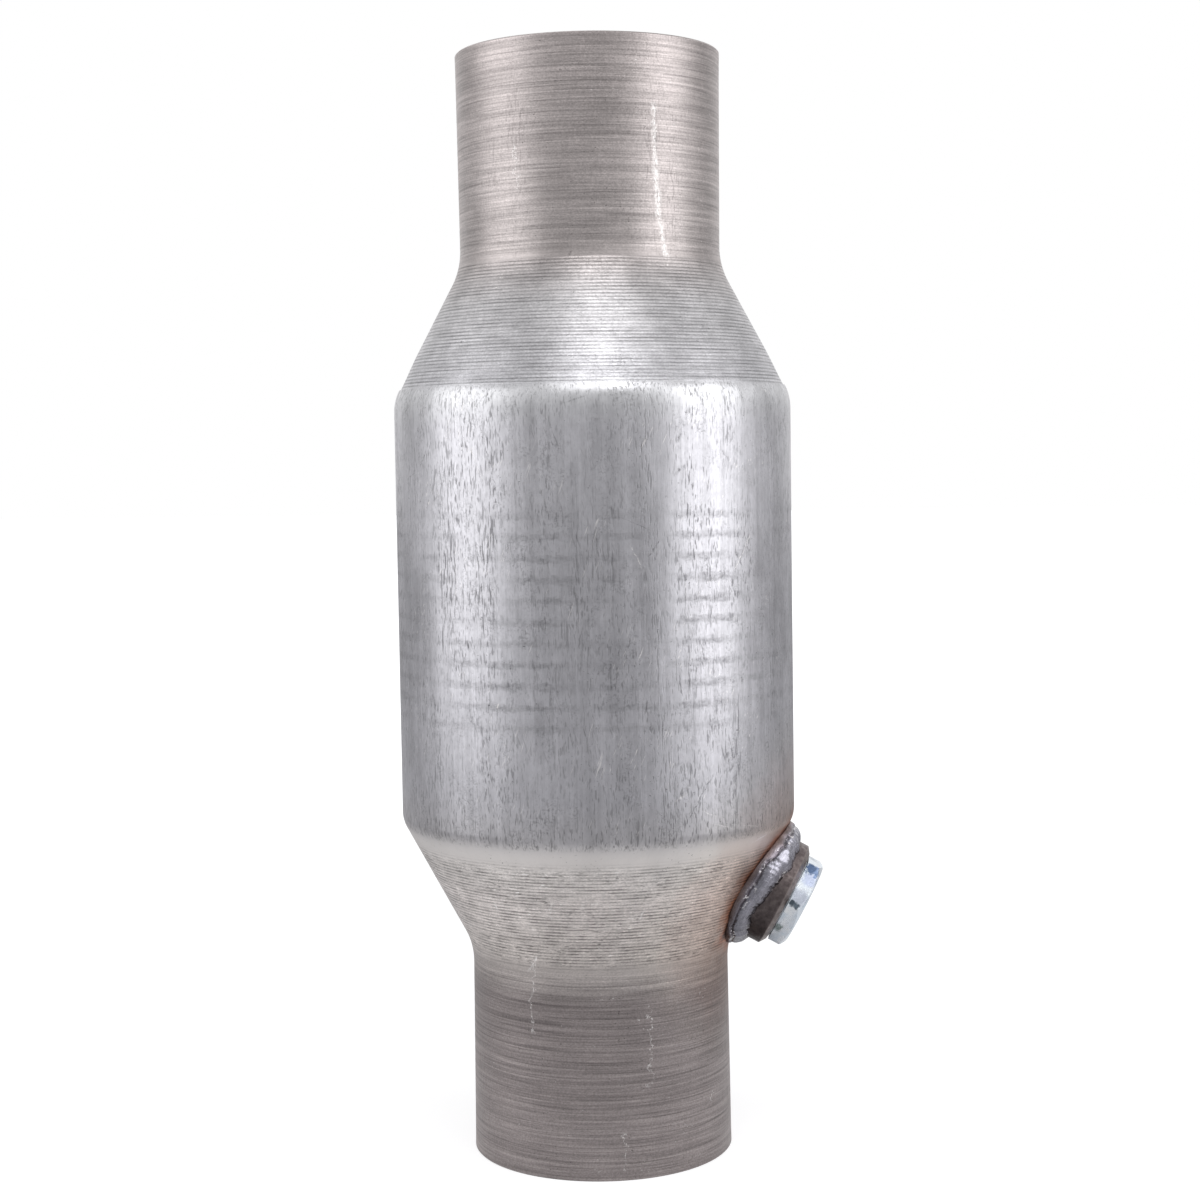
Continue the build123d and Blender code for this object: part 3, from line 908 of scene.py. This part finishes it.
def makeScaledSteel():
    # hot forged steel: brown black scale on the side, a worn lighter line on the turned chamfer
    material, tree = newMaterial("forgeScaleSteel")
    place = addNode(tree, "SeparateXYZ", {}, {0: portMillimetres(tree)}).node.outputs
    flake = bung["scaleFlake"]
    flakes = grain(tree, (flake,) * 3, (0.3, 0.72), detail=6)
    scale = addNode(tree, "ValToRGB", {"stops": bung["scaleColours"]}, {0: flakes})
    # darker down the cone and lighter up it
    slant = addNode(tree, "MapRange", {"range": bung["slant"]}, {"Value": place["X"]})
    chamferStart = port["bungHeight"] - bung["chamferRise"]
    worn = between(tree, place["Z"], chamferStart - 0.1, port["bungHeight"] + 1, 0.22)
    worn = product(tree, worn, grain(tree, (2.2, 2.2, 2.2), (0.3, 0.6), (0.4, 1), shift=(6, 0, 0)))
    colour = addNode(tree, "VectorMath", {"operation": "SCALE"}, {0: scale, "Scale": slant})
    colour = addNode(tree, "Mix", {"data_type": "RGBA", "B": hexToLinear(bung["wornEdge"])},
                     {"Factor": worn, "A": colour})
    rough = addNode(tree, "MapRange", {"range": (0, 1, *bung["roughness"])}, {"Value": flakes})
    return closeMaterial(material, tree, flakes, 0.6, 0.1, {"Metallic": 0.9},
                         {"Base Color": colour, "Roughness": rough})


finishPiece(makeBungMesh(), "sensorBung", [makeScaledSteel()], "sensor_bung",
            bung["sharpAngle"])
print("bung ready")


# weld: one MIG bead laid by hand round the bung, a brown lip at its toe, then a glassy furrow, then its
# smooth face. Places across the face run from 0 at the toe to 1 at the crown.
weld = {
    "legOut": 3.65,
    "legUp": 5.2,
    "faceRadius": 6.5,
    "facePoints": 28,
    "steps": 420,
    # degrees round the bung from up the cone, and how high the crown stands there in mm
    "crown": [(0, 4.6), (26, 5.6), (50, 6.5), (72, 6.0), (90, 5.4), (115, 4.1), (150, 4.3), (180, 4.4),
              (225, 5.2), (270, 5.6), (320, 5.0), (360, 4.6)],
    "lip": (0.13, 0.09, 0.22),     # place, half width, and height in mm
    "furrow": (0.28, 0.05, 0.42),  # place, half width, and depth in mm
    "face": (0.64, 0.25, 0.28),    # place, half width, and height in mm
    "furrowWander": 0.15,
    "ripplePitch": 1.3,
    "rippleHeight": 0.05,
    "rippleCurve": 6.4,            # mm, how far the crescents bow back from the middle of the face
    "lumpHeight": 0.34,
    "fineHeight": 0.04,
    "crownRagged": 0.55,
    "toeRagged": 0.4,
    "sink": 0.25,                  # the bead's back lies this far inside the shell and the bung
    "sharpAngle": 70,
    # colours, roughness, and slag painted as glints, across the face
    "colours": [(0.0, "#6C5C58"), (0.12, "#7C7173"), (0.23, "#827C84"), (0.275, "#544E54"),
                (0.31, "#5A565D"), (0.37, "#908F98"), (0.6, "#A2A1AB"), (0.82, "#94929B"),
                (0.96, "#7B777E"), (1.0, "#5A5558")],
    "roughness": [(0.0, 0.42), (0.2, 0.3), (0.27, 0.14), (0.33, 0.14), (0.4, 0.22), (0.7, 0.27),
                  (0.9, 0.2), (1.0, 0.16)],
    "slagAndGlintPlaces": [(0.16, 0.0), (0.24, 1.0), (0.38, 1.0), (0.48, 0.0), (0.86, 0.0), (0.94, 0.8)],
    "slagAndGlint": "#E2DEE0",
    "slant": (-11.0, 13.0, 0.62, 1.18),  # mm down and up the cone, and the brightness there
}


def makeWeldMesh():
    out, up = weld["legOut"], weld["legUp"]
    bm = bmesh.new()
    beadPlace = bm.verts.layers.float_vector.new("beadPlace")
    # section in x outwards from the bung's side and z up from the cone, root at the origin
    toe = Vector((bungRadius + out, 0, 0))
    crown = Vector((bungRadius, 0, up))
    chord = crown - toe
    side = Vector((chord.z, 0, -chord.x)).normalized()
    depth = sqrt(weld["faceRadius"] ** 2 - chord.length ** 2 / 4)
    centre = (toe + crown) / 2 - side * depth
    sweep = 2 * asin(chord.length / 2 / weld["faceRadius"])
    pen = bm.verts.new(toe)
    face = bmesh.ops.spin(bm, geom=[pen], cent=centre, axis=(0, -1, 0), angle=sweep, steps=weld["facePoints"])
    last = vertsOf(face["geom_last"])[0]
    back = bungRadius - weld["sink"]
    root = bm.verts.new((back, 0, -weld["sink"]))
    above = bm.verts.new((back, 0, up - weld["sink"]))
    below = bm.verts.new((bungRadius + out - weld["sink"], 0, -weld["sink"]))
    for ends in ((last, above), (above, root), (root, below), (below, pen)):
        bm.edges.new(ends)
    bmesh.ops.spin(bm, geom=bm.verts[:] + bm.edges[:], cent=(0, 0, 0), axis=(0, 0, 1),
                   angle=2 * pi, steps=weld["steps"], use_merge=True)
    bmesh.ops.remove_doubles(bm, verts=bm.verts[:], dist=0.0005)
    bmesh.ops.recalc_face_normals(bm, faces=bm.faces[:])
    bm.normal_update()
    toeAngle = atan2(-centre.z, bungRadius + out - centre.x)
    for vert in bm.verts:
        reach = Vector((vert.co.xy.length - centre.x, vert.co.z - centre.z))
        onFace = abs(reach.length - weld["faceRadius"]) < 0.01
        across = (atan2(reach.y, reach.x) - toeAngle) / sweep if onFace else 0
        vert.co, vert[beadPlace] = beadPoint(vert, onFace, across, chord.length)
    return placePortMesh(bm, "bungWeld")


def crownHeight(turn):
    # height of the bead on the bung's side, eased from one listed place to the next
    degreesRound = degrees(turn) % 360
    for (start, low), (end, high) in zip(weld["crown"], weld["crown"][1:]):
        if start <= degreesRound <= end:
            return low + (high - low) * ramp(degreesRound, start, end)
    return weld["crown"][0][1]


def hump(value, place, width):
    return exp(-((value - place) / width) ** 2)


def beadPoint(vert, onFace, across, chordLength):
    # from the plain ring to the laid bead: lip, furrow and lumps on its face, then down onto the cone.
    # Each noise reads a place on the unit ring; the number beside it says how fine it is.
    x, y, z = vert.co
    radius = hypot(x, y)
    turn = atan2(y, x)
    ring = Vector((cos(turn), sin(turn), 0))
    inRing = (bungRadius + weld["legOut"] / 2) * ring
    wander = weld["furrowWander"] * noise.noise(ring * 4.0) + 0.02 * noise.noise(ring * 13)
    place = across - wander
    offset = 0
    if onFace:
        mask = sin(pi * min(1, max(0, across))) ** 0.6
        along = turn * inRing.length
        crescent = along - weld["rippleCurve"] * (across - 0.6) ** 2
        ripple = 0.5 + 0.5 * cos(2 * pi * (crescent / weld["ripplePitch"] + 1.3 * noise.noise(ring * 5)))
        lump = noise.noise(ring * 4.6 + Vector((0, 0, across * 0.9)))
        fine = noise.noise(ring * 22 + Vector((0, 0, across * 5)))
        furrowPlace, furrowWidth, furrowDepth = weld["furrow"]
        depthShare = 0.55 + 0.45 * ramp(noise.noise(ring * 3.0 + Vector((5, 0, 0))), -0.3, 0.2)
        depthShare *= 0.7 + 0.6 * noise.noise(ring * 17)
        offset = weld["lip"][2] * hump(place, *weld["lip"][:2]) * (0.7 + 0.8 * noise.noise(ring * 9))
        offset -= furrowDepth * depthShare * hump(place, furrowPlace, furrowWidth)
        offset += weld["face"][2] * hump(across, *weld["face"][:2]) + weld["rippleHeight"] * (ripple - 0.5)
        offset += weld["lumpHeight"] * lump + weld["fineHeight"] * fine
        offset *= mask
    ragged = noise.noise(ring * 7 + Vector((0, 0, 9))) + 0.5 * noise.noise(ring * 21)
    ragged *= weld["crownRagged"]
    outShare = (radius - bungRadius) / weld["legOut"]
    upShare = z / weld["legUp"]
    radius += weld["toeRagged"] * noise.noise(ring * 5.2 + Vector((0, 0, 3))) * max(0, outShare)
    z += (crownHeight(turn) - weld["legUp"] + ragged) * max(0, upShare)
    radius += vert.normal.dot(ring) * offset
    z += vert.normal.z * offset
    x, y = radius * ring.x, radius * ring.y
    return Vector((x, y, z + coneDrop(x, y))), Vector((place * chordLength, inRing.x, inRing.y))


def makeWeldMetal():
    # bare steel bead: blue grey and satin on its face, glassy and black in the furrow, brown at the toe
    material, tree = newMaterial("migWeldBead")
    bead = tree.nodes.new("ShaderNodeAttribute")
    bead.attribute_name = "beadPlace"
    bead = bead.outputs["Vector"]
    chordLength = hypot(weld["legOut"], weld["legUp"])
    place = addNode(tree, "SeparateXYZ", {}, {0: bead}).node.outputs
    across = addNode(tree, "Math", {"operation": "DIVIDE", 1: chordLength}, {0: place["X"]})
    wobble = grain(tree, (0.8, 0.8, 0.8), (0.25, 0.75), (-0.03, 0.03))
    across = addNode(tree, "Math", {"operation": "ADD"}, {0: across, 1: wobble})
    colour = addNode(tree, "ValToRGB", {"stops": weld["colours"]}, {0: across})
    # paler up the cone and darker down it; the paler upper part is a painted highlight
    slant = addNode(tree, "MapRange", {"range": weld["slant"]}, {"Value": place["Y"]})
    # draw marks that follow the bead, and patches where it froze darker
    alongBead = addNode(tree, "Mapping", {"Scale": (2.6, 0.3, 0.3)}, {"Vector": bead})
    drawn = addNode(tree, "TexNoise", {"Scale": 1.0, "Detail": 3.0, "Roughness": 0.6}, {"Vector": alongBead})
    drawnShade = addNode(tree, "MapRange", {"range": (0.3, 0.7, 0.76, 1.22)}, {"Value": drawn})
    shade = product(tree, slant, drawnShade,
                    grain(tree, (2.6, 2.6, 2.6), (0.3, 0.7), (0.74, 1.16), 3),
                    grain(tree, (0.5, 0.5, 0.5), (0.3, 0.7), (0.88, 1.12), 2, shift=(4, 0, 0)))
    colour = addNode(tree, "VectorMath", {"operation": "SCALE"}, {0: colour, "Scale": shade})
    # beads of clear slag in the furrow and along the crown, painted near white as glints
    slagAndGlintPlaces = addNode(tree, "ValToRGB", {"stops": weld["slagAndGlintPlaces"]}, {0: across})
    slagAndGlint = product(tree, slagAndGlintPlaces, grain(tree, (3.2, 3.2, 3.2), (0.45, 0.54), detail=1, shift=(0, 0, 17)),
                   grain(tree, (0.7, 0.7, 0.7), (0.54, 0.6), detail=2, shift=(0, 11, 0)))
    colour = addNode(tree, "Mix", {"data_type": "RGBA", "B": hexToLinear(weld["slagAndGlint"])},
                     {"Factor": slagAndGlint, "A": colour})
    rough = addNode(tree, "ValToRGB", {"stops": weld["roughness"]}, {0: across})
    rough = product(tree, rough, grain(tree, (1.6, 1.6, 1.6), (0.3, 0.7), (0.7, 1.3), 3, shift=(0, 9, 0)))
    skin = addNode(tree, "Math", {"operation": "MULTIPLY_ADD", 1: 0.6},
                   {0: drawn, 2: grain(tree, (1.1, 1.1, 1.1), (0, 1), (0, 1), 2, shift=(0, 0, 5))})
    return closeMaterial(material, tree, skin, 0.5, 0.15, {"Metallic": 1.0},
                         {"Base Color": colour, "Roughness": rough})


finishPiece(makeWeldMesh(), "bungWeld", [makeWeldMetal()], "bung_weld", weld["sharpAngle"])
print("weld ready")


# port plug: cold headed hexagon, bright zinc with a blue cast
plug = {
    "acrossFlats": 22.2,
    "hexHeight": 4.3,
    "chamferAngle": 30.0,
    "faceDiameter": 21.0,
    "turn": -3.0,
    "washerDiameter": 20.0,
    "washerHeight": 0.4,
    "threadRadius": 9.0,
    "shankLength": 11.5,
    "leadChamfer": 1.2,
    "reliefWidth": 1.6,
    "reliefDepth": 0.9,
    "cornerRound": 0.35,
    "edgeRound": 0.16,
    "segments": 96,
    "longestRow": 30,
    "sharpAngle": 12,
    "zincColours": [(0, "#D2DFEC"), (0.5, "#E6EDF5"), (1, "#F4F7FA")],
    "roughness": (0.2, 0.32),
    # stains and painted facet shade in the port's frame: up the cone, towards the front, out along the port,
    # then radius, colour and raggedness, in mm
    "stainsAndFacetShade": [
        ((8.1, 8.0, 11.0), 2.0, "#CCD5EE", 0.8),
        ((3.4, 11.0, 10.6), 2.3, "#BFC5D2", 0.8),
        ((10.3, 6.7, 11.4), 1.5, "#8EA3C8", 1.5),
        ((10.5, 6.4, 9.8), 1.5, "#5A6F92", 1.4),
        ((1.5, 12.1, 9.6), 1.0, "#3F4A54", 0.45),
        ((1.3, 12.3, 10.9), 0.9, "#56626D", 0.45),
        ((-6.6, 10.2, 9.4), 1.5, "#7F8C8A", 0.8),
    ],
}


def turnedPart(points, name):
    # points of a closed outline, each x, z and bend radius, turned round the port's axis
    return meshFrom(spinOutline([(*point, plug["longestRow"]) for point in points], plug["segments"]), name)


def makePlugMesh():
    base = port["bungHeight"]
    hexBase = base + plug["washerHeight"]
    top = hexBase + plug["hexHeight"]
    corner = plug["acrossFlats"] / sqrt(3)
    overlap = 0.5  # mm that the turned parts reach into or past the hexagon
    # hexagonal bar, its long edges just rounded
    bar = bmesh.new()
    place = Matrix.Translation((0, 0, hexBase)) @ Matrix.Rotation(radians(plug["turn"]), 4, "Z")
    bmesh.ops.create_circle(bar, cap_ends=True, segments=6, radius=corner, matrix=place)
    drawUp(bar, plug["hexHeight"])
    upright = [e for e in bar.edges if abs(e.verts[0].co.z - e.verts[1].co.z) > 1]
    bmesh.ops.bevel(bar, geom=upright, offset=plug["cornerRound"], affect="EDGES", segments=3, profile=0.5,
                    material=-1)
    bmesh.ops.recalc_face_normals(bar, faces=bar.faces[:])
    # cone that turns the corners off
    face = plug["faceDiameter"] / 2
    reach = corner + overlap
    drop = (corner - face) * tan(radians(plug["chamferAngle"]))
    turned = turnedPart([
        (0, hexBase - overlap, 0),
        (reach, hexBase - overlap, 0),
        (reach, top - drop * (reach - face) / (corner - face), 0),
        (face, top, plug["edgeRound"]),
        (0, top, 0),
    ], "hexTurning")
    head = cutWith(meshFrom(bar, "hexBar"), turned, "INTERSECT")
    # washer face, thread relief and threaded shank below the head
    thread, relief, lead = plug["threadRadius"], plug["reliefDepth"], plug["leadChamfer"]
    tip = base - plug["shankLength"]
    washer = plug["washerDiameter"] / 2
    shank = turnedPart([
        (0, hexBase + overlap, 0),
        (washer - 1, hexBase + overlap, 0),
        (washer, hexBase, 0),
        (washer, base, plug["edgeRound"]),
        (thread - relief, base, 0),
        (thread - relief, base - plug["reliefWidth"], 0),
        (thread, base - plug["reliefWidth"] - relief, 0),
        (thread, tip + lead, 0.2),
        (thread - lead, tip, 0.2),
        (0, tip, 0),
    ], "plugShank")
    whole = cutWith(head, shank, "UNION")
    whole.materials.clear()
    bm = bmesh.new()
    bm.from_mesh(whole)
    bmesh.ops.remove_doubles(bm, verts=bm.verts[:], dist=0.001)
    return placePortMesh(bm, "portPlug")


def makeZincPlate():
    # electroplated zinc with a clear blue passivate: bright and satin, with passivate stains and painted
    # shade that set the facets apart, darkest at some corners
    material, tree = newMaterial("blueZincPlate")
    place = portMillimetres(tree)
    clouds = grain(tree, (3, 3, 3), (0.3, 0.7), detail=4)
    colour = addNode(tree, "ValToRGB", {"stops": plug["zincColours"]}, {0: clouds})
    for spot, radius, stainAndShade, ragged in plug["stainsAndFacetShade"]:
        away = addNode(tree, "VectorMath", {"operation": "DISTANCE", 1: spot}, {0: place})
        wobble = grain(tree, (0.9, 0.9, 0.9), (0.2, 0.8), (-ragged, ragged), 4, shift=spot)
        away = addNode(tree, "Math", {"operation": "ADD"}, {0: away, 1: wobble})
        edge = (radius * 1.25, radius * 0.6)
        mask = addNode(tree, "MapRange", {"interpolation_type": "SMOOTHSTEP", "range": edge}, {"Value": away})
        colour = addNode(tree, "Mix", {"data_type": "RGBA", "B": hexToLinear(stainAndShade)},
                         {"Factor": mask, "A": colour})
    fleck = grain(tree, (0.35, 0.35, 0.35), (0.3, 0.7), (0.93, 1.05), 2)
    colour = addNode(tree, "VectorMath", {"operation": "SCALE"}, {0: colour, "Scale": fleck})
    rough = addNode(tree, "MapRange", {"range": (0, 1, *plug["roughness"])}, {"Value": clouds})
    return closeMaterial(material, tree, clouds, 0.25, 0.06, {"Metallic": 0.5},
                         {"Base Color": colour, "Roughness": rough})


finishPiece(makePlugMesh(), "portPlug", [makeZincPlate()], "port_plug", plug["sharpAngle"])
print("plug ready")


# support mat and its two seal rings keep their CAD shape
lining = {
    "felt": [(0, "#CFC7B4"), (1, "#EAE5D8")],
    "flake": 1.8,              # mm, the mica flakes in the mat
    "mica": "#A88A58",
    "wirePitch": 1.9,          # mm from loop to loop of the rings' knitted wire
    "wireRow": 1.5,
    "wireColours": [(0, "#2E2B29"), (0.35, "#7C7875"), (1, "#BDBAB7")],
}


def makeFibreMat():
    # intumescent mat: cream ceramic fibre, felted, with golden brown mica flakes
    material, tree = newMaterial("intumescentFibreMat")
    fibres = grain(tree, (0.25, 0.25, 2.5), (0.25, 0.75), detail=5, turn=(0, 40, 20))
    felt = addNode(tree, "ValToRGB", {"stops": lining["felt"]}, {0: fibres})
    flakes = grain(tree, (lining["flake"],) * 3, (0.6, 0.64), detail=1)
    colour = addNode(tree, "Mix", {"data_type": "RGBA", "B": hexToLinear(lining["mica"])},
                     {"Factor": flakes, "A": felt})
    return closeMaterial(material, tree, fibres, 0.7, 0.3, {"Roughness": 0.95, "Specular IOR Level": 0.2},
                         {"Base Color": colour})


def makeKnittedWire():
    # rings pressed from knitted stainless wire: fine bright loops with painted shade in the gaps between them
    material, tree = newMaterial("knittedStainlessWire")
    coords = tree.nodes.new("ShaderNodeTexCoord").outputs["Object"]
    xyz = addNode(tree, "SeparateXYZ", {}, {0: coords}).node.outputs
    turn = addNode(tree, "Math", {"operation": "ARCTAN2"}, {0: xyz["Y"], 1: xyz["X"]})
    loops = 2 * int(pi * bodyRadius / lining["wirePitch"])
    column = addNode(tree, "Math", {"operation": "MULTIPLY", 1: float(loops)}, {0: turn})
    column = addNode(tree, "Math", {"operation": "SINE"}, {0: column})
    perMetre = 2 * pi / (lining["wireRow"] * mm)
    rise = addNode(tree, "Math", {"operation": "MULTIPLY", 1: perMetre}, {0: xyz["Z"]})
    rise = addNode(tree, "Math", {"operation": "MULTIPLY_ADD", 1: 1.6}, {0: column, 2: rise})
    wire = addNode(tree, "Math", {"operation": "SINE"}, {0: rise})
    wire = addNode(tree, "MapRange", {"range": (-0.3, 0.8)}, {"Value": wire})
    colour = addNode(tree, "ValToRGB", {"stops": lining["wireColours"]}, {0: wire})
    return closeMaterial(material, tree, wire, 0.8, 0.2, {"Metallic": 1.0, "Roughness": 0.35},
                         {"Base Color": colour})


knittedWire = makeKnittedWire()
for node, material in (("support_mat", makeFibreMat()), ("lower_seal_ring", knittedWire),
                       ("upper_seal_ring", knittedWire)):
    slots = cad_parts[node].data.materials
    slots.clear()
    slots.append(material)
print("mat and rings ready")
